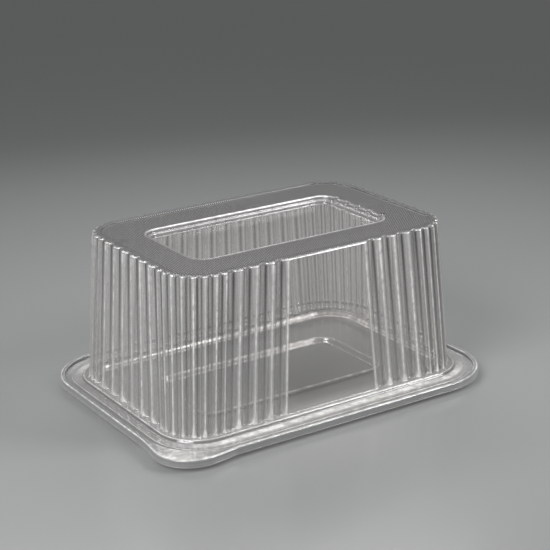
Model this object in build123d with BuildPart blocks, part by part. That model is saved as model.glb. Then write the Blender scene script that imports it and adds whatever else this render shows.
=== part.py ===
"""Clear thermoformed cake pack: a flanged base tray and a fluted lift-off cover.

The origin is the middle of the tray's foot, on the surface that the pack stands on.
X runs along the long side, the plain window faces -Y and Z points up.
"""

import os
from math import pi

from build123d import *

os.makedirs("parts", exist_ok=True)

# Sheet thickness and the fit between tray and cover
tray_wall = 0.5
cover_wall = 0.5
fit_clearance = 0.3

# Rim of the tray: outside edge, raised bead and turned-down lip
rim_length = 231.5
rim_width = 174.5
rim_radius = 39.0
rim_top = 7.4
lip_bottom = 3.0
bead_width = 3.0
bead_round = 1.0

# Seat for the cover's flange, and the upstand that the cover's skirt fits round
seat_height = 5.0
upstand_height = 6.7
upstand_land = 3.7
upstand_fall = 2.5

# Floor of the tray and the foot panel pressed down in its middle
floor_height = 3.5
foot_panel_length = 130.0
foot_panel_width = 63.0
foot_panel_radius = 9.5
foot_panel_draft = 1.5

# Pull tab at one corner: how far its tip passes the two sides of the rim
tab_reach_side = 5.0
tab_reach_front = 6.8
tab_radius = 22.0

# Cover: outlines of its fluted wall at the foot and at the top, skirt and flange
pack_height = 100.0
foot_length = 199.0
foot_width = 134.0
foot_radius = 22.0
top_length = 189.0
top_width = 126.5
top_radius = 25.0
ledge_width = 3.5
skirt_draft = 0.4
flange_inset = 7.0

# Rounded crown where the ridges turn into the top: level below the top, and how far in
crown_start = 1.6
crown_middle = 0.5
crown_middle_inset = 0.45
crown_top_inset = 1.6

# Flutes: a wave of grooves and ridges all round but for the window in the front
flute_pitch = 10.5
groove_depth = 2.5
corner_depth_share = 0.8
groove_mouth = 8.4
groove_shoulder = 6.4
shoulder_depth = 0.35
groove_floor = 2.8
corner_grooves = 7
side_grooves = 7
back_grooves = 13
front_grooves = 4

# Middles of the grooves next to the window, and how the front flutes fan out towards the foot
window_left = 30.6
window_right = 32.5
window_spread = 4.5
front_spread = 1.04

# Top: a border, a shallow step down to the panel, and the stacking recess in two drops
border_width = 5.6
border_step = 0.8
recess_length = 134.0
recess_width = 67.0
recess_radius = 9.0
recess_first_drop = 2.2
recess_shoulder = 1.2
recess_second_drop = 2.4
recess_draft = 0.5

# Half-round lugs along the right end of the recess, which keep stacked packs from jamming
lug_count = 5
lug_pitch = 12.0
lug_radius = 2.4

# Places that follow from the sizes above
flange_bottom = seat_height + fit_clearance
ledge_top = upstand_height + fit_clearance + cover_wall
upstand_outset = ledge_width - cover_wall - fit_clearance
panel_height = pack_height - border_step
shoulder_height = panel_height - recess_first_drop
recess_floor = shoulder_height - recess_second_drop
over_cut = 1.0


def rim_outline(inset):
    """Rounded rectangle that lies a set distance inside the tray's plain rim."""
    return RectangleRounded(rim_length - 2 * inset, rim_width - 2 * inset, rim_radius - inset)


def foot_outline(outset):
    """Rounded rectangle that lies a set distance outside the foot of the cover's wall."""
    return RectangleRounded(foot_length + 2 * outset, foot_width + 2 * outset, foot_radius + outset)


def foot_block(outset_low, outset_high, low, high):
    """Solid between two levels with the foot's outline at each outset: a drafted wall all round."""
    with BuildPart() as block:
        with BuildSketch(Plane.XY.offset(low)):
            foot_outline(outset_low)
        with BuildSketch(Plane.XY.offset(high)):
            foot_outline(outset_high)
        loft(ruled=True)
    return block.part


def pocket_block(length, width, radius, draft, low, high):
    """Solid with a rounded rectangle at its mouth and walls that close in by the draft to its floor."""
    with BuildPart() as pocket:
        with BuildSketch(Plane.XY.offset(low)):
            RectangleRounded(length - 2 * draft, width - 2 * draft, radius)
        with BuildSketch(Plane.XY.offset(high)):
            RectangleRounded(length, width, radius + draft)
        loft(ruled=True)
    return pocket.part


# Outline of the tray's rim, with the pull tab at the near left corner
tab_side = Vector(-rim_length / 2, -rim_width / 2 + rim_radius)
tab_tip = Vector(-rim_length / 2 - tab_reach_side, -rim_width / 2 - tab_reach_front)
tab_front = Vector(-rim_length / 2 + rim_radius, -rim_width / 2)
tab_root = Vector(tab_front.X, tab_side.Y)

with BuildSketch() as tabbed_rim:
    with BuildLine():
        Polyline(tab_root, tab_side, tab_tip, tab_front, close=True)
    make_face()
    fillet(tabbed_rim.vertices().sort_by_distance(tab_tip)[0], tab_radius)
    rim_outline(0)


def under_tray(sink):
    """Everything below a skin that lies a set depth under the tray's upper surface."""
    below = lip_bottom - 2 * rim_top
    with BuildPart() as form:
        with BuildSketch(Plane.XY.offset(below)):
            add(offset(tabbed_rim.sketch, amount=-sink, mode=Mode.PRIVATE))
        extrude(amount=rim_top - sink - below)
        fillet(form.faces().sort_by(Axis.Z)[-1].edges(), bead_round - sink)
        with BuildSketch(Plane.XY.offset(seat_height - sink)):
            rim_outline(bead_width - sink)
        extrude(amount=rim_top, mode=Mode.SUBTRACT)
        add(foot_block(upstand_outset + skirt_draft - sink, upstand_outset - sink,
                       seat_height - sink, upstand_height - sink))
        basin = upstand_land - upstand_outset - sink
        add(foot_block(-basin - upstand_fall, -basin, floor_height - sink, upstand_height),
            mode=Mode.SUBTRACT)
        add(pocket_block(foot_panel_length + 2 * sink, foot_panel_width + 2 * sink, foot_panel_radius,
                         foot_panel_draft, tray_wall - sink, floor_height), mode=Mode.SUBTRACT)
    return form.part


# Tray: the skin between two such forms, with the lip cut off level
with BuildPart() as base_tray:
    add(under_tray(0))
    add(under_tray(tray_wall), mode=Mode.SUBTRACT)
    with BuildSketch(Plane.XY.offset(lip_bottom)):
        Rectangle(2 * rim_length, 2 * rim_width)
        RectangleRounded(foot_length, foot_width, foot_radius, mode=Mode.SUBTRACT)
    extrude(amount=-2 * rim_top, mode=Mode.SUBTRACT)

base_tray.part.label = "base_tray"
export_step(base_tray.part, "parts/base_tray.step")


def place_on_outline(along, length, width, radius):
    """Point and outward direction at a distance along a rounded rectangle, from the middle of its front."""
    half_long = length / 2 - radius
    half_short = width / 2 - radius
    arc = pi * radius / 2
    near_right = Vector(half_long, -half_short)
    far_right = Vector(half_long, half_short)
    runs = [(near_right, half_long), (far_right, 2 * half_short), (-near_right, 2 * half_long),
            (-far_right, 2 * half_short), (near_right, 2 * half_long)]
    for quarter, (corner, run) in enumerate(runs):
        outward = Vector(0, -1).rotate(Axis.Z, quarter * 90)
        if along <= run:
            return corner + outward * radius - outward.rotate(Axis.Z, 90) * (run - along), outward
        along -= run
        if along <= arc:
            outward = outward.rotate(Axis.Z, along / arc * 90)
            return corner + outward * radius, outward
        along -= arc
    raise ValueError("the distance runs past the end of the outline")


def groove_places(length, width, radius):
    """Middle of every groove, as a distance along the outline, with the pitch of its neighbours.

    The grooves of a straight side spread in step with its length, those beside the window fan out from
    it, and those of a corner share the way between the last groove of each side.
    """
    drop = (length - top_length) / (foot_length - top_length)
    half_long = length / 2 - radius
    half_short = width / 2 - radius
    arc = pi * radius / 2
    spread_long = half_long / (top_length / 2 - top_radius)
    spread_short = half_short / (top_width / 2 - top_radius)
    right_middle = half_long + arc + half_short
    back_middle = right_middle + half_short + arc + half_long
    left_middle = back_middle + half_long + arc + half_short
    front_middle = left_middle + half_short + arc + half_long

    def row(middle, first, number, spread):
        return [middle + spread * (first + flute_pitch * step) for step in range(number)]

    fan = 1 + (front_spread - 1) * drop
    side_first = -flute_pitch * (side_grooves - 1) / 2
    back_first = -flute_pitch * (back_grooves - 1) / 2
    front_left_first = -window_left - flute_pitch * (front_grooves - 1)
    rows = [
        row(window_spread * drop, window_right, front_grooves, fan),
        row(right_middle, side_first, side_grooves, spread_short),
        row(back_middle, back_first, back_grooves, spread_long),
        row(left_middle, side_first, side_grooves, spread_short),
        row(front_middle - window_spread * drop, front_left_first, front_grooves, fan),
    ]
    places = [(along, flute_pitch) for along in rows[0]]
    for before, after in zip(rows, rows[1:]):
        gap = (after[0] - before[-1]) / (corner_grooves + 1)
        places += [(before[-1] + gap * (step + 1), gap) for step in range(corner_grooves)]
        places += [(along, flute_pitch) for along in after]
    return places


def groove_outline(along, pitch, length, width, radius, extra):
    """Outline of one groove at one level, wider and deeper all round by an extra.

    The grooves of a corner are narrower and shallower, and their flanks have no shoulder.
    """
    share = pitch / flute_pitch
    section = [(groove_mouth / 2, -over_cut), (groove_mouth / 2, 0)]
    if pitch == flute_pitch:
        depth = groove_depth
        section.append((groove_shoulder / 2, shoulder_depth))
    else:
        depth = groove_depth * corner_depth_share
    section.append((groove_floor / 2, depth))
    point, outward = place_on_outline(along, length, width, radius)
    aside = outward.rotate(Axis.Z, 90)
    points = [point + aside * (half * share + extra) - outward * (sink + extra * sink / depth)
              for half, sink in section]
    return points + [point - aside * (half * share + extra) - outward * (sink + extra * sink / depth)
                     for half, sink in reversed(section)]


def grooves(extra):
    """All grooves as solid bars that lean with the wall from below its foot to above its crown."""
    bars = []
    for at_foot, at_top in zip(groove_places(foot_length, foot_width, foot_radius),
                               groove_places(top_length, top_width, top_radius)):
        with BuildPart() as bar:
            with BuildSketch(Plane.XY.offset(ledge_top - extra)):
                with BuildLine():
                    Polyline(*groove_outline(*at_foot, foot_length, foot_width, foot_radius, extra), close=True)
                make_face()
            with BuildSketch(Plane.XY.offset(pack_height)):
                with BuildLine():
                    Polyline(*groove_outline(*at_top, top_length, top_width, top_radius, extra), close=True)
                make_face()
            loft(ruled=True)
        bars.append(bar.part)
    return bars


def plain_wall(low, thickness):
    """Solid inside the wall, without its grooves, from a level up to the rounded crown."""
    with BuildPart() as block:
        with BuildSketch(Plane.XY.offset(low)):
            foot_outline(-thickness)
        for height, inset in ((pack_height - crown_start, 0), (pack_height - crown_middle, crown_middle_inset),
                              (pack_height, crown_top_inset)):
            with BuildSketch(Plane.XY.offset(height - thickness)):
                inside = inset + thickness
                RectangleRounded(top_length - 2 * inside, top_width - 2 * inside, top_radius - inside)
        loft(ruled=True)
    return block.part


def sunk_top(extra):
    """What is pressed down from the top: panel and recess, larger all round and deeper by an extra."""
    with BuildPart() as sunk:
        with BuildSketch(Plane.XY.offset(panel_height - extra)):
            RectangleRounded(top_length - 2 * border_width + 2 * extra, top_width - 2 * border_width + 2 * extra,
                             top_radius - border_width + extra)
        extrude(amount=border_step + extra + over_cut)
        add(pocket_block(recess_length + 2 * extra, recess_width + 2 * extra, recess_radius,
                         recess_draft, shoulder_height - extra, panel_height))
        with BuildSketch(Plane.XY.offset(shoulder_height - extra)):
            with Locations((recess_length / 2, 0)):
                with GridLocations(0, lug_pitch, 1, lug_count):
                    Circle(lug_radius + extra)
        extrude(amount=recess_first_drop + extra)
        inner_length = recess_length - 2 * (recess_draft + recess_shoulder)
        inner_width = recess_width - 2 * (recess_draft + recess_shoulder)
        add(pocket_block(inner_length + 2 * extra, inner_width + 2 * extra, recess_radius - recess_shoulder,
                         recess_draft, recess_floor - extra, shoulder_height))
    return sunk.part


# Cover: flange, skirt and ledge under the fluted wall, all hollow, with the top pressed down
wall_inside = plain_wall(ledge_top - cover_wall, cover_wall) - grooves(cover_wall) - sunk_top(cover_wall)

with BuildPart() as cover:
    add(plain_wall(ledge_top, 0))
    add(grooves(0), mode=Mode.SUBTRACT)
    add(sunk_top(0), mode=Mode.SUBTRACT)
    with BuildSketch(Plane.XY.offset(flange_bottom)):
        rim_outline(flange_inset)
    extrude(amount=cover_wall)
    add(foot_block(ledge_width + skirt_draft, ledge_width, flange_bottom, ledge_top))
    add(foot_block(ledge_width + skirt_draft - cover_wall, ledge_width - cover_wall, flange_bottom,
                   ledge_top - cover_wall), mode=Mode.SUBTRACT)
    add(wall_inside, mode=Mode.SUBTRACT)

cover.part.label = "cover"
export_step(cover.part, "parts/cover.step")
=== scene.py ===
# %% [markdown]
# # A clear cake pack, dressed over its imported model
# The pack is two thin sheets of clear plastic: a flanged tray and a tall fluted cover. The packed
# model gives the frame: every piece made here sits where the model says and rides on its bodies.
# Both sheets are made again here, with soft folds and a clear finish that plain solids don't have.

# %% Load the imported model
import math

import bpy
import numpy as np
from mathutils import Matrix, Vector


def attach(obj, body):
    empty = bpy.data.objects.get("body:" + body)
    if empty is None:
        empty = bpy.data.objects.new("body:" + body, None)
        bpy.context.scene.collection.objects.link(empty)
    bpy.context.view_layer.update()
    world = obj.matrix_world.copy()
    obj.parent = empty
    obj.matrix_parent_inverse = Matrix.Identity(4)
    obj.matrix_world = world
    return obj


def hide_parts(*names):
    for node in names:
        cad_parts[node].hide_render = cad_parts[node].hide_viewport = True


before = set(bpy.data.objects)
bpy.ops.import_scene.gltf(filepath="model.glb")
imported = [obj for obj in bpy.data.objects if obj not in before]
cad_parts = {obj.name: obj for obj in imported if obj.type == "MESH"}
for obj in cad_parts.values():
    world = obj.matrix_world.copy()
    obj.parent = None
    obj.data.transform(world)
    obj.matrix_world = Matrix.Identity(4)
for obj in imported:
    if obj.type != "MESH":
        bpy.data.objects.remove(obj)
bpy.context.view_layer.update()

# %% [markdown]
# ## Main sizes
# Each sheet is pressed over a mould, so all its forms hang together. The rim of the tray and the
# foot and top of the cover's wall are rounded rectangles, given as length, width and corner radius.
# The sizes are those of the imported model, in millimetres, and the meshes are turned into metres
# when they are made. The sizes of a single form stand in the cell that makes it.

# %% Sizes that both sheets share
SHEET = 0.5
RIM = (231.5, 174.5, 39.0)
RIM_TOP = 7.4
WALL_FOOT = (199.0, 134.0, 22.0)
WALL_TOP = (189.0, 126.5, 25.0)
LEDGE_TOP = 7.5
PACK_HEIGHT = 100.0
print("sheet", SHEET, "mm, pack", PACK_HEIGHT, "mm high")

# %% [markdown]
# ## Outlines
# Each level of the pack is a rounded rectangle. A bevelled plane would give one level at a time,
# with no tie between them. So an outline is cut into eight runs, four straight sides and four
# quarter circles, and a place on it is a run and the share of that run behind it. The same place
# exists on every other rounded rectangle, so levels of different size can be joined.


# %% Runs and places on a rounded rectangle
def run_lengths(size):
    """Length of the eight runs, from the left end of the front: a side is its whole length less two
    radii, and the quarter circle after it is pi times the radius over two."""
    length, width, radius = size
    arc = math.pi * radius / 2
    return np.array([length - 2 * radius, arc, width - 2 * radius, arc] * 2)


def place_of(along, size):
    """Run and share of a distance along the outline: the distance past the run's start over its
    length."""
    lengths = run_lengths(size)
    ends = np.cumsum(lengths)
    along = along % ends[-1]
    run = np.minimum(np.searchsorted(ends, along, side="right"), len(lengths) - 1)
    return run, (along - ends[run] + lengths[run]) / lengths[run]


print("rim is", round(float(run_lengths(RIM).sum())), "mm round")

# %% [markdown]
# ## Points of an outline
# A fold of the sheet follows a level at a small distance inside or outside it. The outward
# direction at each place is worked out with the point, and a parallel outline is then the point
# less that direction times the distance, which keeps its corners round.

# %% Points and parallel outlines
CORNERS = np.array([[-1, -1], [1, -1], [1, 1], [-1, 1]])


def outline(place, size):
    """Points and outward directions: the direction turns evenly round each quarter circle, and the
    point is the circle's middle, or a point evenly between two middles, plus radius times
    direction."""
    run, share = place
    length, width, radius = size
    side, on_arc = run // 2, run % 2
    turn = (side + on_arc * share) * math.pi / 2
    outward = np.stack([np.sin(turn), -np.cos(turn)], axis=-1)
    middles = CORNERS * [length / 2 - radius, width / 2 - radius]
    start, end = middles[side], middles[(side + 1) % 4]
    between = np.where(on_arc == 1, 1.0, share)[:, None]
    return start + (end - start) * between + outward * radius, outward


def inside(place, size, amount):
    """Points moved inwards: the point less its outward direction times the amount, which may
    differ from point to point."""
    points, outward = outline(place, size)
    return points - outward * np.broadcast_to(amount, len(points))[:, None]


front_middle = inside((np.array([0]), np.array([0.5])), RIM, 0.0)[0]
print("middle of the front rim at", np.round(front_middle, 2), "mm")

# %% [markdown]
# ## Flutes
# The wall is stiffened by a wave of grooves and ridges, with a plain window in the front. An Array
# modifier could repeat one flute, but it couldn't fan them out: the grooves of each side spread
# towards the foot, those beside the window also move away from it, and seven more share each
# corner. So the middle of every groove is worked out along the outline of a level.

# %% Places of the grooves
PITCH = 10.5
SIDE_GROOVES = 7
BACK_GROOVES = 13
CORNER_GROOVES = 7
BESIDE_WINDOW = 4
WINDOW_LEFT = 30.6
WINDOW_RIGHT = 32.5
WINDOW_SPREAD = 4.5
FRONT_SPREAD = 1.04


def groove_row(middle, spread, count):
    """A row of grooves: the middle of its side plus the spread times whole steps each way."""
    return middle + spread * (np.arange(count) - count // 2)


def groove_rows(size):
    """Distances of the groove middles of each side along the outline, with the front once more at
    the end. The spread is the pitch times the side's straight half over that of the wall's top,
    and the drop is 0 at the top and 1 at the foot."""
    long_half = size[0] / 2 - size[2]
    short_half = size[1] / 2 - size[2]
    arc = math.pi * size[2] / 2
    drop = (size[0] - WALL_TOP[0]) / (WALL_FOOT[0] - WALL_TOP[0])
    fan = 1 + (FRONT_SPREAD - 1) * drop
    steps = PITCH * np.arange(BESIDE_WINDOW)
    left = -WINDOW_SPREAD * drop - fan * (WINDOW_LEFT + steps)
    right = WINDOW_SPREAD * drop + fan * (WINDOW_RIGHT + steps)
    front = long_half + np.concatenate([left[::-1], right])
    spread_long = PITCH * long_half / (WALL_TOP[0] / 2 - WALL_TOP[2])
    spread_short = PITCH * short_half / (WALL_TOP[1] / 2 - WALL_TOP[2])
    right_middle = 2 * long_half + arc + short_half
    back_middle = right_middle + short_half + arc + long_half
    left_middle = back_middle + long_half + arc + short_half
    return [
        front,
        groove_row(right_middle, spread_short, SIDE_GROOVES),
        groove_row(back_middle, spread_long, BACK_GROOVES),
        groove_row(left_middle, spread_short, SIDE_GROOVES),
        front + run_lengths(size).sum(),
    ]


print("grooves of the sides:", sum(len(row) for row in groove_rows(WALL_TOP)[:-1]))

# %% [markdown]
# ## Grooves of the corners
# The photograph shows the flutes going round the corners without a gap, a little closer together.
# So the grooves of a corner are set evenly between the last groove of one side and the first of the
# next, and each is as much narrower as its pitch is shorter.


# %% All grooves round the wall
def groove_middles(size):
    """Distances of all groove middles, and each groove's width as a share of the full one. The
    grooves of a corner stand evenly between two sides, and their share is their pitch over the
    full pitch."""
    rows = groove_rows(size)
    middles, shares = [], []
    for here, following in zip(rows, rows[1:]):
        corner = np.linspace(here[-1], following[0], CORNER_GROOVES + 2)
        middles += [here, corner[1:-1]]
        shares += [np.ones(len(here)), np.full(CORNER_GROOVES, (corner[1] - corner[0]) / PITCH)]
    return np.concatenate(middles), np.concatenate(shares)


print("grooves round the wall:", len(groove_middles(WALL_TOP)[0]))

# %% [markdown]
# ## Mesh columns of the wall
# An even grid would cut across the flutes and blur them. Here a column of the mesh runs up the
# wall at fixed places in each groove, so the mesh is fine where the sheet bends, the grooves stay
# crisp, and the same columns serve the foot and the top.

# %% Columns in the grooves, on the ridges and in the window
ACROSS = np.array([-4.1, -3.1, -2.4, -1.75, -1.1, -0.4, 0.4, 1.1, 1.75, 2.4, 3.1, 4.1])
CREST = PITCH / 2
FAR_FROM_GROOVE = 2 * CREST
RIDGE_WIDTH = 0.9
WINDOW_EDGE = 1.1
WINDOW_INSIDE = 2.6
WINDOW_COLUMNS = 12


def groove_columns(size):
    """Distances of the columns of every groove, and the grooves' shares: the middle plus the place
    across times the share. Where two grooves would leave less than the ridge's width between them,
    both mouths are squeezed."""
    middles, shares = groove_middles(size)
    to_next = np.append(middles[1:], middles[0] + run_lengths(size).sum()) - middles
    mouths = ACROSS[-1] * (shares + np.roll(shares, -1))
    squeeze = np.minimum(1.0, (to_next - RIDGE_WIDTH) / mouths)
    reach = np.where(ACROSS > 0, squeeze[:, None], np.roll(squeeze, 1)[:, None]) * shares[:, None]
    return middles[:, None] + ACROSS * reach, shares


def window_columns(start, end):
    """Distances of the window's columns, evenly between two places a little inside its edges, with
    one more at each edge, and their places across, of which only the outer two are a crest."""
    even = np.linspace(start + WINDOW_INSIDE, end - WINDOW_INSIDE, WINDOW_COLUMNS)
    far = np.full(WINDOW_COLUMNS, FAR_FROM_GROOVE)
    return (np.concatenate([[start + WINDOW_EDGE], even, [end - WINDOW_EDGE]]),
            np.concatenate([[CREST], far, [CREST]]))


print("columns in the grooves:", groove_columns(WALL_TOP)[0].size)

# %% [markdown]
# ## All columns of a level
# The foot and the top of the wall get the same number of columns in the same order, which is what
# lets a column run straight up from one to the other. The window takes the place of the one ridge
# that would stand between the grooves on its two sides.


# %% Columns of the foot and the top
def wall_columns(size):
    """Distance along the outline of every column, its place across its groove, and whether its
    groove is a narrow one. A ridge has one column, halfway from groove to groove, and the one in
    the window gives way to the window's own."""
    grooves, shares = groove_columns(size)
    after = np.append(grooves[1:, 0], grooves[0, 0] + run_lengths(size).sum())
    along = np.column_stack([grooves, (grooves[:, -1] + after) / 2])
    crests = np.full(len(grooves), CREST)
    across = np.column_stack([np.broadcast_to(ACROSS, grooves.shape), crests])
    narrow = np.broadcast_to((shares < 1)[:, None], along.shape)
    last_before = BESIDE_WINDOW - 1
    window, window_across = window_columns(grooves[last_before, -1], after[last_before])
    window_narrow = np.zeros(len(window), bool)
    cut = BESIDE_WINDOW * along.shape[1] - 1
    return [
        np.concatenate([values.ravel()[:cut], between, values.ravel()[cut + 1:]])
        for values, between in ((along, window), (across, window_across), (narrow, window_narrow))
    ]


foot_along, across, narrow = wall_columns(WALL_FOOT)
top_along = wall_columns(WALL_TOP)[0]
at_foot = place_of(foot_along, WALL_FOOT)
at_top = place_of(top_along, WALL_TOP)
print("columns round the wall:", len(across))

# %% [markdown]
# ## Section of a groove
# Seen from above, a groove falls from the ridge in a soft S to a narrow floor. A smooth step gives
# that S: three times the square less twice the cube of how far down the flank a place is. A groove
# of a corner is less deep than the others, because it is narrower.

# %% Depth of the grooves
FLANK_START = 4.2
FLANK_END = 0.8
GROOVE_DEPTH = 2.5
CORNER_DEPTH_SHARE = 0.8
down = np.clip((FLANK_START - np.abs(across)) / (FLANK_START - FLANK_END), 0, 1)
groove = 3 * down**2 - 2 * down**3
groove_depth = groove * GROOVE_DEPTH * np.where(narrow, CORNER_DEPTH_SHARE, 1.0)
print("deepest groove:", groove_depth.max(), "mm")

# %% [markdown]
# ## Painted light and dark on a flute
# A thin clear sheet shows mostly where it bends. Ray traced refraction could find those places, but
# it is slow, and it needs the photograph's own surroundings. So each column carries two marks for
# the finish, which paint that light and dark into the sheet. The shine is a painted highlight: a
# light bar on each side of a ridge, with a thin line at its crest and a faint one on the groove's
# floor. The shade is painted shade: a thin dark line low on each flank, where the sheet bends away
# what is behind it. A row below has a value for each place across, and the crest last.

# %% Marks across a flute
# Painted highlight as light bars and thin lines, and painted shade as thin dark lines, at each
# place across.
HIGHLIGHT_BAR_ACROSS = (0.80, 0.74, 0.40, 0.0, 0.05, 0.20, 0.0, 0.0, 0.0, 0.0, 0.30, 0.72, 0.80)
HIGHLIGHT_LINE_ACROSS = (0.45, 0.0, 0.0, 0.0, 0.0, 0.30, 0.20, 0.0, 0.0, 0.0, 0.0, 0.45, 1.0)
SHADE_ACROSS = (0.0, 0.0, 0.35, 1.0, 0.50, 0.0, 0.10, 0.60, 1.0, 0.60, 0.05, 0.0, 0.0)
WINDOW_SHINE = 0.25
in_window = across > CREST


def across_flute(values, value_in_window):
    """One value for each column, read evenly between the places across, and a fixed one in the
    window."""
    return np.where(in_window, value_in_window, np.interp(across, [*ACROSS, CREST], values))


# Painted highlight bars and lines, and painted shade on the flanks, for every column of the wall.
highlight_bars = across_flute(HIGHLIGHT_BAR_ACROSS, WINDOW_SHINE)
lines = across_flute(HIGHLIGHT_LINE_ACROSS, 0.0)
flank_shade = across_flute(SHADE_ACROSS, 0.0)
print("columns in the window:", in_window.sum(), "and in shade:", (flank_shade > 0.5).sum())

# %% [markdown]
# ## Sheets from rings
# Every level is a closed ring of points, and a sheet is a grid of rings. A fold is a few rings
# close together, as a heated sheet never folds sharply. Each ring also carries its marks: its
# painted highlight (the shine), its painted shade (the shade), and how knurled it is.

# %% Rings and their marks
# The shine mark is painted highlight and the shade mark is painted shade; the finish paints both.
MARKS = ("shine", "shade", "knurl")


def new_grid():
    """Empty lists for the rings of a sheet and for each of its marks."""
    return {name: [] for name in ("rings", *MARKS)}


def add_ring(grid, points, height, shine=0.0, shade=0.0, knurl=0.0):
    """Adds one ring of points in the plane, lifted to a height, with its marks. A mark is one
    number, or one for each point."""
    grid["rings"].append(np.column_stack([points, np.broadcast_to(height, len(points))]))
    for mark, value in zip(MARKS, (shine, shade, knurl)):
        grid[mark].append(np.broadcast_to(np.asarray(value, float), len(points)))


def add_folds(grid, place, size, rows, light=1.0, bulge=0.0):
    """Adds a ring for each row of amount inwards, height, painted shine and painted shade: the
    parallel outline, moved out by the bulge, with its painted shine times the share of light that
    would fall on each point."""
    for amount, height, shine, shade in rows:
        add_ring(grid, inside(place, size, amount - bulge), height, shine * light, shade)


print("marks of a ring:", MARKS)

# %% [markdown]
# ## From a grid to a piece
# Faces join each ring to the next, and a last point closes the middle. The grid is the outer face,
# and a Solidify modifier gives the sheet its thickness downwards and inwards, which is simpler than
# a second grid. The marks go along as attributes of the points, for the finish to read.


# %% Make a sheet
def grid_faces(rows, columns):
    """Corners of the faces by number: a quad joins a point, its right neighbour and the two next
    to them in the following ring, and a triangle joins two points of the last ring to the
    middle."""
    row, column = np.meshgrid(np.arange(rows - 1), np.arange(columns), indexing="ij")
    here = row * columns + column
    right = row * columns + (column + 1) % columns
    quads = np.stack([here, right, right + columns, here + columns], axis=-1).reshape(-1, 4)
    last = (rows - 1) * columns
    number = np.arange(columns)
    middle = np.full(columns, rows * columns)
    fan = np.stack([last + number, last + (number + 1) % columns, middle], axis=-1)
    return quads.tolist() + fan.tolist()


def make_sheet(name, grid, body, node):
    """Piece of a grid: its points in metres and the middle of its last ring, joined by faces, with
    an attribute for each mark."""
    rings = np.array(grid["rings"]) / 1000
    vertices = np.concatenate([rings.reshape(-1, 3), rings[-1].mean(axis=0)[None]])
    mesh = bpy.data.meshes.new(name)
    mesh.from_pydata(vertices.tolist(), [], grid_faces(*rings.shape[:2]))
    mesh.polygons.foreach_set("use_smooth", np.ones(len(mesh.polygons), bool))
    for mark in MARKS:
        attribute = mesh.attributes.new(mark, "FLOAT", "POINT")
        values = np.append(np.array(grid[mark]), 0.0)
        attribute.data.foreach_set("value", values.astype(np.float32))
    piece = bpy.data.objects.new(name, mesh)
    bpy.context.scene.collection.objects.link(piece)
    wall = piece.modifiers.new("sheet thickness", "SOLIDIFY")
    wall.thickness = SHEET / 1000
    wall.offset = -1
    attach(piece, body)
    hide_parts(node)
    print(name, "has", len(mesh.polygons), "faces before its thickness")
    return piece


print("faces of a grid of 2 rings with 3 points:", len(grid_faces(2, 3)))

# %% [markdown]
# ## The cover's flange and ledge
# The cover stands in the tray on a flat flange. Its skirt rises from the flange to a narrow ledge,
# from which the wall goes up. These are folds along two outlines, the rim and the wall's foot, so
# rows of numbers say it all, with a painted highlight and painted shade for each fold. The flange's
# painted highlight is strongest along the long sides, as the photograph shows, and a share of the
# light sets it for every point.

# %% Flange, skirt and ledge
FLANGE_TOP = 5.8
# Each row: amount inwards, height, painted highlight and painted shade.
FLANGE_EDGE = ((7.0, FLANGE_TOP - 0.25, 0.6, 0.0), (7.15, FLANGE_TOP, 1.0, 0.0),
               (7.6, FLANGE_TOP, 0.3, 0.0))
FLANGE_FACE = ((-8.5, FLANGE_TOP, 1.0, 0.0), (-5.0, FLANGE_TOP, 1.0, 0.0))
SKIRT_AND_LEDGE = ((-4.4, 5.83, 0.5, 0.0), (-4.0, 6.1, 0.1, 0.8), (-3.75, 6.8, 0.1, 0.7),
                   (-3.5, 7.25, 0.7, 0.1), (-3.15, 7.48, 1.0, 0.0), (-2.6, LEDGE_TOP, 0.5, 0.0),
                   (-1.2, LEDGE_TOP, 0.2, 0.2))
FOOT_FOLD = 0.35
LEDGE_SHINE, LEDGE_LINES, LEDGE_SHADE = 0.35, 0.5, 0.3
FLANGE_LEAST_LIGHT = 0.25


def front_light(place, size, least):
    """Share of the painted highlight that a fold gets, for the light it would catch: whole where it
    faces the front or the back, and falling to the least on the short sides with the part of its
    outward direction that points that way."""
    return least + (1 - least) * np.abs(outline(place, size)[1][:, 1])


cover_grid = new_grid()
add_folds(cover_grid, at_foot, RIM, FLANGE_EDGE)
flange_light = front_light(at_foot, WALL_FOOT, FLANGE_LEAST_LIGHT)
add_folds(cover_grid, at_foot, WALL_FOOT, FLANGE_FACE, flange_light)
add_folds(cover_grid, at_foot, WALL_FOOT, SKIRT_AND_LEDGE)
# The ledge's ring: painted highlight, more at the crests, and painted shade in the grooves.
add_ring(cover_grid, inside(at_foot, WALL_FOOT, groove_depth - FOOT_FOLD), LEDGE_TOP,
         LEDGE_SHINE + LEDGE_LINES * lines, LEDGE_SHADE * groove)
print("rings up to the wall:", len(cover_grid["rings"]))

# %% [markdown]
# ## The fluted wall
# The wall leans in a little from the ledge to the top, and its flutes close up on the way. Its
# outlines at the foot and at the top have the same columns, so each point just moves evenly from
# one to the other. The painted highlight bars fade towards the foot, where a painted highlight line
# marks the fold, and the painted shade on the flanks grows weaker there.

# %% Rings of the fluted wall
CROWN = 1.6
WALL_ROWS = (0.004, 0.012, 0.03, 0.07, 0.15, 0.25, 0.35, 0.45, 0.55, 0.65, 0.75, 0.85, 0.95, 1.0)
FOOT_LINE_END = 0.05
WINDOW_FOOT_LINE = 0.4
BARS_AT_FOOT = 0.35
SHADE_AT_FOOT = 0.65

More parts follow.
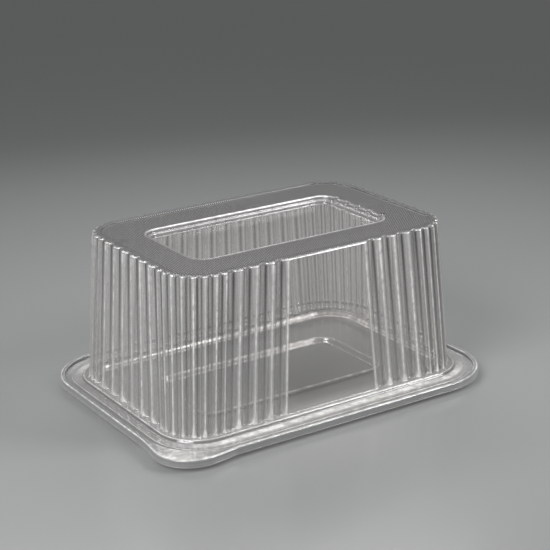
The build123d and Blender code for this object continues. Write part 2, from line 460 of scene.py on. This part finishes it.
foot_points = inside(at_foot, WALL_FOOT, groove_depth)
top_points = inside(at_top, WALL_TOP, groove_depth)
for up in WALL_ROWS:
    height = LEDGE_TOP + (PACK_HEIGHT - CROWN - LEDGE_TOP) * up
    near_foot = max(0.0, 1 - up / FOOT_LINE_END)
    # Painted highlight: crest lines, bars that fade towards the foot, and a line along the foot's
    # fold; painted shade on the flanks, weaker at the foot.
    lit = np.maximum(lines, highlight_bars * (BARS_AT_FOOT + (1 - BARS_AT_FOOT) * up**2))
    foot_highlight = near_foot * np.where(in_window, WINDOW_FOOT_LINE, 1 - groove)
    shade = flank_shade * (SHADE_AT_FOOT + (1 - SHADE_AT_FOOT) * up)
    points = foot_points + (top_points - foot_points) * up
    add_ring(cover_grid, points, height, np.clip(lit + foot_highlight, 0, 1), shade)
print("wall from", LEDGE_TOP, "to", PACK_HEIGHT - CROWN, "mm")

# %% [markdown]
# ## Crown and border
# Each ridge turns over into the top in a small quarter circle, the crown. The flat border behind
# it still shows the grooves as notches that grow shallow and end where the sheet steps down to the
# panel. The circle is worked out ring by ring, because a Bevel modifier would round every fold
# alike.

# %% Rings of the crown and the border
CROWN_TURNS = (18, 36, 54, 72, 90)
BORDER_WIDTH = 5.6
NOTCH_SHADE = 0.8
# Each row of the border: amount inwards, height, painted highlight and painted shade.
BORDER = ((2.2, 100.0, 0.0, 0.2), (3.4, 100.0, 0.0, 0.2), (4.6, 100.0, 0.0, 0.2),
          (5.2, 99.97, 0.3, 0.2), (5.45, 99.75, 0.4, 0.2), (5.65, 99.35, 0.1, 0.6),
          (5.95, 99.2, 0.0, 0.4))


def notched(inwards):
    """Points of the top a distance inside the wall: that distance, plus the groove's depth times
    the share of the border that is still ahead."""
    amount = inwards + groove_depth * max(0.0, 1 - inwards / BORDER_WIDTH)
    return inside(at_top, WALL_TOP, amount)


# The crown gets a painted highlight, strongest halfway round, weaker over the grooves, whose
# notches get painted shade.
for turn in np.radians(CROWN_TURNS):
    shine = math.sin(2 * turn) * (1 - NOTCH_SHADE * groove)
    add_ring(cover_grid, notched(CROWN * (1 - math.cos(turn))),
             PACK_HEIGHT - CROWN * (1 - math.sin(turn)), shine, NOTCH_SHADE * groove)
for inwards, height, shine, shade in BORDER:
    add_ring(cover_grid, notched(inwards), height, shine, shade, 1.0)
print("rings up to the panel:", len(cover_grid["rings"]))

# %% [markdown]
# ## Panel and lugs
# The top inside the border is a flat knurled panel round the stacking recess. Five half-round lugs
# bulge out of the recess's right end. They need no bodies of their own: a root of the radius
# squared less the distance squared moves the points of the outline out by the right amount.

# %% Lugs and panel
RECESS = (134.0, 67.0, 9.5)
LUG_PITCH = 12.0
LUG_COUNT = 5
LUG_RADIUS = 2.4
END_MARGIN = 0.1
PANEL_HEIGHT = 99.2
PANEL_START = 6.2
MOUTH_WIDTH = 1.9
PANEL_SHARES = (0.05, 0.35, 0.65, 1.0)

recess_points = inside(at_top, RECESS, 0.0)
lug_middles = LUG_PITCH * (np.arange(LUG_COUNT) - (LUG_COUNT - 1) / 2)
to_lug = np.abs(recess_points[:, 1:] - lug_middles).min(axis=1)
on_right_end = recess_points[:, 0] > RECESS[0] / 2 - END_MARGIN
bulge = np.sqrt(np.clip(LUG_RADIUS**2 - to_lug**2, 0, None)) * on_right_end

panel_edge = inside(at_top, WALL_TOP, PANEL_START)
mouth_edge = inside(at_top, RECESS, -MOUTH_WIDTH - bulge)
for share in PANEL_SHARES:
    points = panel_edge + (mouth_edge - panel_edge) * share
    add_ring(cover_grid, points, PANEL_HEIGHT, knurl=1.0)
print("lugs reach out", round(float(bulge.max()), 2), "mm")

# %% [markdown]
# ## Stacking recess
# The foot of another pack stands in this recess, which goes down in two drops with a narrow
# shoulder between them. Its folds are sharp and bright in the photograph, so the rows are close
# together and the painted highlight is strong, weaker on the recess's ends, with painted shade on
# the steep walls. The floor closes with three rings that shrink to the middle.

# %% Rings of the recess, and the cover
# Each row: amount inwards, height, painted highlight and painted shade; the painted highlight is
# weaker on the ends.
FIRST_DROP = ((-1.3, PANEL_HEIGHT, 1.0, 0.0), (-0.35, 99.18, 1.0, 0.0), (0.0, 98.95, 1.0, 0.0),
              (0.15, 98.5, 0.3, 0.6), (0.4, 97.5, 0.1, 0.8), (0.55, 97.1, 0.9, 0.0),
              (0.9, 97.0, 0.7, 0.0))
SECOND_DROP = ((1.5, 96.98, 0.5, 0.0), (1.8, 96.75, 1.0, 0.0), (1.95, 96.3, 0.3, 0.6),
               (2.15, 95.1, 0.1, 0.7), (2.4, 94.68, 0.9, 0.1), (2.9, 94.6, 0.4, 0.0))
RECESS_FLOOR = 94.6
RECESS_FLOOR_START = 4.5
RECESS_FLOOR_RINGS = (1.0, 0.7, 0.4)
RECESS_LEAST_LIGHT = 0.4

recess_light = front_light(at_top, RECESS, RECESS_LEAST_LIGHT)
add_folds(cover_grid, at_top, RECESS, FIRST_DROP, recess_light, bulge)
add_folds(cover_grid, at_top, RECESS, SECOND_DROP, recess_light)
floor_points = inside(at_top, RECESS, RECESS_FLOOR_START)
for keep in RECESS_FLOOR_RINGS:
    add_ring(cover_grid, floor_points * keep, RECESS_FLOOR)

cover = make_sheet("cover", cover_grid, "lid", "cover")

# %% [markdown]
# ## The pull tab
# One corner of the tray reaches out as a tongue to lift by. Its outline leaves the side of the rim
# in a straight line, turns round an arc and comes straight back to the front. A tab made on its own
# would leave a seam, so the rim's own corner run is led along this path instead.

# %% Outline of the rim with its tab
TAB_REACH_SIDE = 5.0
TAB_REACH_FRONT = 6.8
TAB_RADIUS = 22.0
TAB_RUN = 7
TRAY_COLUMNS = 760


def tab_path(share):
    """Points and outward directions by the share of the whole path: two tangent lines from the
    corner's ends, joined by an arc round the tip, on which the direction turns evenly."""
    length, width, radius = RIM
    side = np.array([-length / 2, -width / 2 + radius])
    front = np.array([-length / 2 + radius, -width / 2])
    tip = np.array([-length / 2 - TAB_REACH_SIDE, -width / 2 - TAB_REACH_FRONT])
    down_side = (tip - side) / np.linalg.norm(tip - side)
    to_front = (front - tip) / np.linalg.norm(front - tip)
    turning = math.acos(float(down_side @ to_front))
    tangent = TAB_RADIUS * math.tan(turning / 2)
    arc_start = tip - down_side * tangent
    first = np.linalg.norm(arc_start - side)
    last = np.linalg.norm(front - tip) - tangent
    arc = TAB_RADIUS * turning
    along = share * (first + arc + last)
    turned = np.clip((along - first) / TAB_RADIUS, 0, turning)
    x, y = down_side[1], -down_side[0]
    outward = np.stack([x * np.cos(turned) - y * np.sin(turned),
                        x * np.sin(turned) + y * np.cos(turned)], axis=-1)
    middle = arc_start - np.array([x, y]) * TAB_RADIUS
    before = np.minimum(along - first, 0)[:, None] * down_side
    after = np.maximum(along - first - arc, 0)[:, None] * to_front
    return middle + outward * TAB_RADIUS + before + after, outward


def tabbed_rim(place, amount):
    """Points of the rim with its tab, moved inwards by an amount: the tab's path on the run of its
    corner, and the rounded rectangle elsewhere."""
    points, outward = outline(place, RIM)
    tab_points, tab_outward = tab_path(place[1])
    on_tab = (place[0] == TAB_RUN)[:, None]
    return np.where(on_tab, tab_points, points) - np.where(on_tab, tab_outward, outward) * amount


rim_along = np.linspace(0, run_lengths(RIM).sum(), TRAY_COLUMNS, endpoint=False)
tray_place = place_of(rim_along, RIM)
print("tab reaches to x", round(float(tabbed_rim(tray_place, 0)[:, 0].min()), 1), "mm")

# %% [markdown]
# ## The tray's lip and bead
# The edge of the tray turns down in a lip below a raised bead, which makes the thin sheet stiff.
# The outer fold is a quarter circle, and the bead's top runs from the outline with the tab to the
# plain one inside it, so the tab becomes a widening of the bead. The folds carry painted highlight
# and painted shade, and the tab gets the strongest painted highlight.

# %% Rings of the lip and the bead
LIP_BOTTOM = 3.0
# Rows of the lip: height, painted highlight and painted shade; the bead's rows carry painted
# highlight and shade too.
LIP = ((LIP_BOTTOM, 0.8, 0.0), (LIP_BOTTOM + 0.3, 0.3, 0.3), (5.0, 0.15, 0.35), (6.1, 0.1, 0.6))
BEAD_TURNS = (22.5, 45, 67.5, 90)
BEAD_ROUND = 1.0
BEAD_START = 1.3
BEAD_END = 2.5
BEAD_TOP = ((0.0, 0.6), (0.25, 0.3), (0.5, 0.25), (0.75, 0.3), (1.0, 0.7))
BEAD_INSIDE = ((2.8, 7.3, 0.9, 0.0), (3.0, 6.9, 0.3, 0.6), (3.05, 5.4, 0.0, 0.8),
               (3.25, 5.05, 0.8, 0.0))
TAB_HIGHLIGHT = 0.6

tray_grid = new_grid()
for height, shine, shade in LIP:
    add_ring(tray_grid, tabbed_rim(tray_place, 0.0), height, shine, shade)
for turn in np.radians(BEAD_TURNS):
    add_ring(tray_grid, tabbed_rim(tray_place, BEAD_ROUND * (1 - math.cos(turn))),
             RIM_TOP - BEAD_ROUND * (1 - math.sin(turn)), math.sin(turn))

bead_outside = tabbed_rim(tray_place, BEAD_START)
bead_inside = inside(tray_place, RIM, BEAD_END)
# A painted highlight over the tab, strongest in its middle.
tab_light = np.where(tray_place[0] == TAB_RUN, np.sin(math.pi * tray_place[1]) ** 2, 0.0)
for share, shine in BEAD_TOP:
    points = bead_outside + (bead_inside - bead_outside) * share
    add_ring(tray_grid, points, RIM_TOP, np.minimum(shine + TAB_HIGHLIGHT * tab_light, 1))
add_folds(tray_grid, tray_place, RIM, BEAD_INSIDE)
print("rings of the lip and bead:", len(tray_grid["rings"]))

# %% [markdown]
# ## Seat and upstand
# Inside the bead lies the flat seat for the cover's flange. A low upstand fits inside the cover's
# skirt and keeps it in place, and from there the sheet slopes down to the floor. All but the seat's
# outer edge follow the wall's foot, so that tray and cover stay parallel all the way round.

# %% Rings of the seat and the upstand
SEAT_HEIGHT = 5.0
# Seat rows: size of the outline, amount inwards and painted highlight; upstand rows: amount
# inwards, height, painted highlight and painted shade.
SEAT = ((RIM, 3.7, 0.8), (WALL_FOOT, -4.2, 0.7))
UPSTAND = ((-3.4, 5.02, 0.5, 0.0), (-3.1, 5.3, 0.2, 0.6), (-2.8, 6.3, 0.2, 0.6),
           (-2.6, 6.65, 1.0, 0.0), (-2.2, 6.7, 0.3, 0.0), (0.4, 6.7, 0.1, 0.0),
           (0.9, 6.65, 0.8, 0.0), (1.3, 6.3, 0.6, 0.3), (2.2, 5.2, 0.95, 0.0),
           (3.2, 3.8, 0.8, 0.2), (3.6, 3.53, 1.0, 0.0), (4.4, 3.5, 0.7, 0.0),
           (6.5, 3.5, 0.25, 0.0))
SEAT_LEAST_LIGHT = 0.25

# The seat's painted highlight is strongest where it faces the front or the back.
seat_light = front_light(tray_place, RIM, SEAT_LEAST_LIGHT)
for size, amount, shine in SEAT:
    add_ring(tray_grid, inside(tray_place, size, amount), SEAT_HEIGHT, shine * seat_light)
add_folds(tray_grid, tray_place, WALL_FOOT, UPSTAND)
print("rings up to the floor:", len(tray_grid["rings"]))

# %% [markdown]
# ## Floor and foot panel
# The middle of the floor is pressed down to a foot panel, on which the pack stands. It is the
# counterpart of the recess in the cover's top, which lets the packs stack. One ring lies close to
# the panel's mouth, so that the painted highlight of the bright fold doesn't spread over the whole
# floor. The panel's drop is painted bright too, most on the long sides.

# %% Rings of the floor and the foot panel, and the tray
FLOOR_HEIGHT = 3.5
FLOOR_START = 6.5
FOOT_PANEL = (130.0, 63.0, 11.0)
PANEL_MOUTH = -2.0
# Floor rows: share of the way to the panel's mouth and painted highlight; drop rows: amount
# inwards, height, painted highlight and painted shade.
FLOOR_SHARES = ((0.25, 0.0), (0.5, 0.0), (0.75, 0.0), (0.97, 0.0), (1.0, 0.8))
PANEL_DROP = ((-1.0, 3.5, 1.0, 0.0), (-0.2, 3.45, 1.0, 0.0), (0.15, 3.2, 0.9, 0.0),
              (0.7, 2.1, 0.8, 0.0), (1.3, 0.85, 0.85, 0.0), (1.6, 0.55, 1.0, 0.0),
              (2.3, SHEET, 0.8, 0.0))
PANEL_FLOOR_START = 3.0
PANEL_FLOOR_RINGS = (1.0, 0.7, 0.35)
PANEL_LEAST_LIGHT = 0.4

floor_edge = inside(tray_place, WALL_FOOT, FLOOR_START)
panel_mouth = inside(tray_place, FOOT_PANEL, PANEL_MOUTH)
panel_light = front_light(tray_place, FOOT_PANEL, PANEL_LEAST_LIGHT)
for share, shine in FLOOR_SHARES:
    points = floor_edge + (panel_mouth - floor_edge) * share
    add_ring(tray_grid, points, FLOOR_HEIGHT, shine * panel_light)
add_folds(tray_grid, tray_place, FOOT_PANEL, PANEL_DROP, panel_light)
panel_floor = inside(tray_place, FOOT_PANEL, PANEL_FLOOR_START)
for keep in PANEL_FLOOR_RINGS:
    add_ring(tray_grid, panel_floor * keep, SHEET)

base_tray = make_sheet("base_tray", tray_grid, "tray", "base_tray")

# %% [markdown]
# ## Shader maths
# A finish is easier to read as an expression than as a list of links. This class wraps one output
# of a node, and adding, taking away or multiplying it makes the Math node that works it out.


# %% Sockets with arithmetic
class Socket:
    """One output of a node in a tree, or with no output a start from which nodes are added."""

    def __init__(self, tree, output=None):
        self.tree = tree
        self.output = output

    def make(self, kind, settings=None, sockets=None, result=0):
        """Adds a node of a type: first its settings, then the values or links of its sockets."""
        node = self.tree.nodes.new(kind)
        for name, value in (settings or {}).items():
            setattr(node, name, value)
        for name, value in (sockets or {}).items():
            if isinstance(value, Socket):
                self.tree.links.new(value.output, node.inputs[name])
            else:
                node.inputs[name].default_value = value
        return Socket(self.tree, node.outputs[result] if node.outputs else None)

    def other(self, result):
        """Another output of the same node."""
        return Socket(self.tree, self.output.node.outputs[result])

    def maths(self, operation, first, second=0.0, clamp=False):
        """One Math node."""
        settings = {"operation": operation, "use_clamp": clamp}
        return self.make("ShaderNodeMath", settings, {0: first, 1: second})

    def __add__(self, other):
        return self.maths("ADD", self, other)

    def __sub__(self, other):
        return self.maths("SUBTRACT", self, other)

    def __rsub__(self, other):
        return self.maths("SUBTRACT", other, self)

    def __mul__(self, other):
        return self.maths("MULTIPLY", self, other)

    def __pow__(self, other):
        return self.maths("POWER", self, other)

    __radd__ = __add__
    __rmul__ = __mul__

    def clamped(self):
        """The value held between 0 and 1."""
        return self.maths("ADD", self, 0.0, clamp=True)

    def blend(self, first, second):
        """Colour between two colours, by this value."""
        sockets = {0: self, 6: first, 7: second}
        return self.make("ShaderNodeMix", {"data_type": "RGBA"}, sockets, 2)


print("operators of a socket: + - * ** and clamped, blend")

# %% [markdown]
# ## An empty tree
# A new material or world brings nodes of its own. They are cleared first, so that a finish holds
# only the nodes that its expressions add.


# %% Clear a tree
def empty_tree(owner):
    """Clears the nodes of a material or a world, and gives the start from which new ones are
    added."""
    owner.use_nodes = True
    owner.node_tree.nodes.clear()
    return Socket(owner.node_tree)


print("trees start from a socket with no output")

# %% [markdown]
# ## Unevenness of the sheet
# No two flutes catch the light alike, because the mould and the heat leave the sheet uneven. A
# picture would need a map of the whole surface, so three noises on Object coordinates stand for
# it: streaks stretched up the wall, glints of a few millimetres, and a broad haze. They vary the
# bump and the roughness, and they also break the painted highlights up into painted sparkles and
# vary the painted shade. The knurl of the top is two sets of crossing sine waves, whose bright tips
# stand in a diagonal grid; the tips raise a bump and carry a painted highlight.

# %% Noises and knurl
STREAK_STRETCH = (1.0, 1.0, 0.16)
STREAKS = {"Scale": 150.0, "Detail": 2.0}
GLINTS = {"Scale": 260.0, "Detail": 2.0}
HAZE = {"Scale": 28.0, "Detail": 5.0}
KNURL_PITCH = 0.0021
TIP_CONTRAST, TIP_LEVEL = 1.8, 0.5


def sheet_noises(start, spot):
    """The three noises at a spot, the first with its Z coordinate made shorter."""
    stretched = start.make("ShaderNodeMapping", sockets={"Vector": spot, "Scale": STREAK_STRETCH})
    return [
        start.make("ShaderNodeTexNoise", sockets={"Vector": where, **noise})
        for where, noise in ((stretched, STREAKS), (spot, GLINTS), (spot, HAZE))
    ]


def knurl_tips(start, spot):
    """The tips of the knurl: the product of the sines along both diagonals, with its contrast
    raised and the lower part cut off."""
    along_x = start.make("ShaderNodeSeparateXYZ", sockets={"Vector": spot})
    along_y = along_x.other(1)
    waves = math.sqrt(0.5) * 2 * math.pi / KNURL_PITCH
    first_ribs = start.maths("SINE", (along_x + along_y) * waves)
    second_ribs = start.maths("SINE", (along_x - along_y) * waves)
    return (first_ribs * second_ribs * TIP_CONTRAST - TIP_LEVEL).clamped()


print("knurl of", KNURL_PITCH * 1000, "mm")

# %% [markdown]
# ## Colours of the sheet
# What shows of the sheet itself is a glossy plastic: white in the shine, which is painted
# highlight, nearly black in the shade, which is painted shade, a neutral mirror on the plain faces,
# and dark grey on the knurl, with painted highlights on its tips. One colour after the other is
# mixed in by its own mark, as a Mix node reads more easily than a sum of colours.

# %% Colour of the glossy part
# Colours of the painted highlight and the painted shade, of the plain mirror and of the knurl; the
# knurl's tips take a share of the painted highlight.
PAINTED_HIGHLIGHT_WHITE = (0.97, 0.955, 0.94, 1)
PAINTED_SHADE_DARK = (0.03, 0.03, 0.03, 1)
MIRROR_GREY = (0.90, 0.90, 0.90, 1)
KNURL_GREY = (0.06, 0.06, 0.06, 1)
TIP_PAINTED_HIGHLIGHT = 0.5


def sheet_colour(painted_highlight, plain, knurled, tips):
    """Painted shade colour to painted highlight colour by the painted highlight, then each further
    colour by its mark.
    """
    colour = painted_highlight.blend(PAINTED_SHADE_DARK, PAINTED_HIGHLIGHT_WHITE)
    colour = plain.blend(colour, MIRROR_GREY)
    colour = (knurled - painted_highlight).clamped().blend(colour, KNURL_GREY)
    return (tips * TIP_PAINTED_HIGHLIGHT).clamped().blend(colour, PAINTED_HIGHLIGHT_WHITE)


print("white line", PAINTED_HIGHLIGHT_WHITE[:3], "dark line", PAINTED_SHADE_DARK[:3])

# %% [markdown]
# ## Clear sheet
# Clear plastic shows what is behind it and mirrors a little of what is before it. Where it folds it
# gathers light in thin white lines, and beside them it bends the light away and looks dark; here
# those lines are a painted highlight and painted shade. Glass with refraction would hide the far
# side of the pack behind noise, so most of the sheet is a Transparent shader, and a Mix Shader puts
# in the glossy plastic. These are its weights: a faint mirror on the plain faces, more of it at
# grazing angles, and most in the painted shine, the painted shade and the knurl.

# %% Weights of the finish
FACING_BLEND, GRAZING_POWER = 0.5, 4.0
STREAK_START, STREAK_GAIN = 0.30, 3.0
GLINT_START, GLINT_GAIN = 0.25, 2.8
# Painted highlight: its power, level and sparkle. The shares weigh the gloss in the painted
# highlight, in the painted shade with its streaks, on the knurl and on its tips' painted highlight;
# the coat thins in the painted shade.
SHINE_POWER, SHINE_LEVEL = 1.6, 0.9
SPARKLE_LOSS, SPARKLE_GAIN = 0.45, 1.1
GRAZING_SHARE, PAINTED_HIGHLIGHT_SHARE, PAINTED_SHADE_SHARE, PAINTED_SHADE_STREAKS = 0.4, 0.9, 0.72, 0.20
KNURL_SHARE, TIP_SHARE, HAZE_SHARE = 0.46, 0.4, 0.03
HAZE_HEIGHT, GLINT_HEIGHT = 0.15, 0.05
BUMP = {"Strength": 0.35, "Distance": 0.0006}
PLAIN_METALLIC = 0.3
ROUGHNESS, HAZE_ROUGHNESS, KNURL_ROUGHNESS = 0.10, 0.08, 0.15
COAT, COAT_OFF_KNURL, COAT_OFF_DARK = 0.8, 0.6, 0.5
PLASTIC = {"IOR": 1.57, "Coat IOR": 2.0, "Coat Roughness": 0.05}
print("share of gloss in a white line:", PAINTED_HIGHLIGHT_SHARE, "and in a dark one:", PAINTED_SHADE_SHARE)

# %% [markdown]
# ## Finish from the marks
# The marks say where the sheet is painted with highlight and shade, and the noises break the
# painted highlight up into painted sparkles. The highlight comes first, the painted shade takes
# what it leaves, and the plain mirror takes what they and the knurl leave, so they never add up to
# more than one. The knurl's tips also raise a bump.


# %% Finish of a clear sheet
def clear_sheet(name, tint, head_on, sparkle, knurl_depth):
    """Material of a clear sheet: tint of what is seen through it, how much of its gloss shows head
    on, how far its painted highlight lines break up into painted sparkles, and how deep its knurl
    is."""
    material = bpy.data.materials.new(name)
    start = empty_tree(material)
    spot = start.make("ShaderNodeTexCoord", result=3)
    shine, shade, knurled = [
        start.make("ShaderNodeAttribute", {"attribute_name": mark}, result=2) for mark in MARKS
    ]
    facing = start.make("ShaderNodeLayerWeight", sockets={"Blend": FACING_BLEND}, result=1)
    grazing = facing**GRAZING_POWER
    streak, glint, haze = sheet_noises(start, spot)
    broken = (((streak - STREAK_START) * STREAK_GAIN).clamped()
              * ((glint - GLINT_START) * GLINT_GAIN).clamped())
    tips = knurl_tips(start, spot) * knurled

    # The shine mark becomes the painted highlight, broken into painted sparkles by the noises, and
    # the shade mark the painted shade where no highlight is.
    steady = SHINE_LEVEL - SPARKLE_LOSS * sparkle
    painted_highlight = (shine**SHINE_POWER * (steady + broken * (SPARKLE_GAIN * sparkle))).clamped()
    painted_shade = (shade - painted_highlight).clamped()
    plain = (1 - painted_highlight - painted_shade - knurled).clamped()
    colour = sheet_colour(painted_highlight, plain, knurled, tips)
    share = (head_on + grazing * GRAZING_SHARE + painted_highlight * PAINTED_HIGHLIGHT_SHARE
             + painted_shade * (PAINTED_SHADE_SHARE + streak * PAINTED_SHADE_STREAKS) + knurled * KNURL_SHARE
             + tips * TIP_SHARE + haze * HAZE_SHARE).clamped()
    height = tips * knurl_depth + haze * HAZE_HEIGHT + glint * GLINT_HEIGHT
    bump = start.make("ShaderNodeBump", sockets={**BUMP, "Height": height})
    gloss = start.make(
        "ShaderNodeBsdfPrincipled",
        sockets={
            "Base Color": colour,
            "Metallic": plain * PLAIN_METALLIC,
            "Roughness": ROUGHNESS + haze * HAZE_ROUGHNESS + knurled * KNURL_ROUGHNESS,
            "Coat Weight": (COAT - knurled * COAT_OFF_KNURL - painted_shade * COAT_OFF_DARK).clamped(),
            "Normal": bump,
            **PLASTIC,
        },
    )
    through = start.make("ShaderNodeBsdfTransparent", sockets={"Color": tint})
    mixed = start.make("ShaderNodeMixShader", sockets={0: share, 1: through, 2: gloss})
    start.make("ShaderNodeOutputMaterial", sockets={"Surface": mixed})
    return material


print("marks that the finish reads:", MARKS)

# %% [markdown]
# ## The two finishes
# Both sheets are of the same plastic, so one function makes both finishes. The cover is faintly
# warm, as the photograph shows it, the tray is neutral, and only the cover has a knurl.

# %% Finishes of the cover and the tray
COVER_TINT = (0.995, 0.986, 0.98, 1)
TRAY_TINT = (0.98, 0.985, 0.9825, 1)
cover_finish = clear_sheet(
    "clear_cover", COVER_TINT, head_on=0.02, sparkle=0.45, knurl_depth=1.0)
tray_finish = clear_sheet(
    "clear_tray", TRAY_TINT, head_on=0.03, sparkle=0.5, knurl_depth=0.0)
cover.data.materials.append(cover_finish)
base_tray.data.materials.append(tray_finish)
print("finishes:", [m.name for m in bpy.data.materials])

# %% [markdown]
# ## Floor
# A clear thing takes its tone from what is behind it, so the floor is a plain pale grey with a
# faint mottle and a faint mirror. One large face is enough.

# %% Floor of the stage
FLOOR_GREY = (0.32, 0.325, 0.325)
FLOOR_HALF = 6.0
FLOOR_ROUGHNESS = 0.2
FLOOR_MIRROR = 0.2
MOTTLE = {"Scale": 6.0, "Detail": 4.0}
MOTTLE_GAIN = 1.04


def floor_finish(name, colour):
    """A matt material: the colour and a slightly lighter one, mixed by a broad noise."""
    material = bpy.data.materials.new(name)
    start = empty_tree(material)
    spot = start.make("ShaderNodeTexCoord", result=3)
    mottle = start.make("ShaderNodeTexNoise", sockets={"Vector": spot, **MOTTLE})
    lighter = [c * MOTTLE_GAIN for c in colour]
    tone = mottle.blend((*colour, 1), (*lighter, 1))
    sockets = {"Base Color": tone, "Roughness": FLOOR_ROUGHNESS, "Specular IOR Level": FLOOR_MIRROR}
    matt = start.make("ShaderNodeBsdfPrincipled", sockets=sockets)
    start.make("ShaderNodeOutputMaterial", sockets={"Surface": matt})
    return material


floor_mesh = bpy.data.meshes.new("floor")
corners = np.column_stack([CORNERS * FLOOR_HALF, np.zeros(4)])
floor_mesh.from_pydata(corners.tolist(), [], [[0, 1, 2, 3]])
floor = bpy.data.objects.new("floor", floor_mesh)
bpy.context.scene.collection.objects.link(floor)
floor.data.materials.append(floor_finish("pale_floor", FLOOR_GREY))
print("floor is", 2 * FLOOR_HALF, "m wide")

# %% [markdown]
# ## World
# The world shows the floor's own grey behind the pack, so that the floor has no hard end, and it
# gives the soft light from all sides that a clear sheet needs to look clean.

# %% World in the floor's grey
WORLD_STRENGTH = 0.56
world = bpy.data.worlds.new("studio")
bpy.context.scene.world = world
sky = empty_tree(world)
grey = sky.make("ShaderNodeBackground",
                sockets={"Color": (*FLOOR_GREY, 1), "Strength": WORLD_STRENGTH})
sky.make("ShaderNodeOutputWorld", sockets={"Surface": grey})
print("world strength:", WORLD_STRENGTH)

# %% [markdown]
# ## Lamps
# Clear things are lit from soft lamps with an edge, which they mirror as long clean lines. The key
# stands to the left, a weaker fill to the right, and a wide flat one behind the pack makes the rims
# bright. Each row gives a lamp's place, the point that it faces, its size, power and spread.

# %% Lamps of the studio
LAMPS = (
    ("key", (-0.65, -0.3, 0.6), (0, -0.03, 0.03), (0.5, 0.5), 2.1, 100),
    ("fill", (0.55, -0.5, 0.55), (0, -0.05, 0.03), (0.3, 0.5), 1.3, 100),
    ("back", (0.2, 0.5, 0.6), (0, 0, 0.05), (0.7, 0.2), 1.0, 110),
)


def soft_lamp(name, place, aim, size, power, spread):
    """A rectangular lamp at a place, turned to face a point, with its light held to a spread in
    degrees."""
    lamp = bpy.data.lights.new(name, "AREA")
    lamp.shape = "RECTANGLE"
    lamp.size, lamp.size_y = size
    lamp.energy = power
    lamp.spread = math.radians(spread)
    holder = bpy.data.objects.new(name, lamp)
    bpy.context.scene.collection.objects.link(holder)
    direction = Vector(aim) - Vector(place)
    facing = direction.to_track_quat("-Z", "Y").to_matrix().to_4x4()
    holder.matrix_world = Matrix.Translation(place) @ facing


for lamp_row in LAMPS:
    soft_lamp(*lamp_row)

# %% [markdown]
# ## Camera
# The camera stands low in front and to the left, far enough off for mild perspective, with a long
# lens. Its place is an azimuth, a height angle and a distance from the middle of the pack, and the
# roll turns it about its own line of sight. The numbers were fitted to the photograph's outlines,
# in pixels of a picture 550 wide.

# %% Camera at the photograph's angle
AZIMUTH, ELEVATION, ROLL = (math.radians(a) for a in (32.337, 20.100, -1.312))
DISTANCE = 0.92472
AIM = Vector((0, 0, 0.05))
FOCAL_PIXELS = 1510.9
SHIFT = (-0.00488, -0.01807)
IMAGE_WIDTH = 550
SENSOR = 36.0

back = Vector((-math.sin(AZIMUTH) * math.cos(ELEVATION), -math.cos(AZIMUTH) * math.cos(ELEVATION),
               math.sin(ELEVATION)))
level_right = Vector((math.cos(AZIMUTH), -math.sin(AZIMUTH), 0))
level_up = back.cross(level_right)
right_way = level_right * math.cos(ROLL) + level_up * math.sin(ROLL)
up_way = level_up * math.cos(ROLL) - level_right * math.sin(ROLL)
camera_data = bpy.data.cameras.new("camera")
camera_data.sensor_width = SENSOR
camera_data.lens = FOCAL_PIXELS / IMAGE_WIDTH * SENSOR
camera_data.shift_x = -SHIFT[0] * FOCAL_PIXELS / IMAGE_WIDTH
camera_data.shift_y = -SHIFT[1] * FOCAL_PIXELS / IMAGE_WIDTH
camera = bpy.data.objects.new("camera", camera_data)
bpy.context.scene.collection.objects.link(camera)
camera_axes = Matrix((right_way, up_way, back)).transposed().to_4x4()
camera.matrix_world = Matrix.Translation(AIM + back * DISTANCE) @ camera_axes
bpy.context.scene.camera = camera
print("lens", round(camera_data.lens, 1), "mm")

# %% [markdown]
# ## View
# The Standard view shows a colour about as it is written. A line of sight passes many layers of the
# clear sheets, with two faces each, so it may go through 48 of them before it turns black.

# %% View and layers
bpy.context.scene.view_settings.view_transform = "Standard"
bpy.context.scene.cycles.transparent_max_bounces = 48
print("view:", bpy.context.scene.view_settings.view_transform)
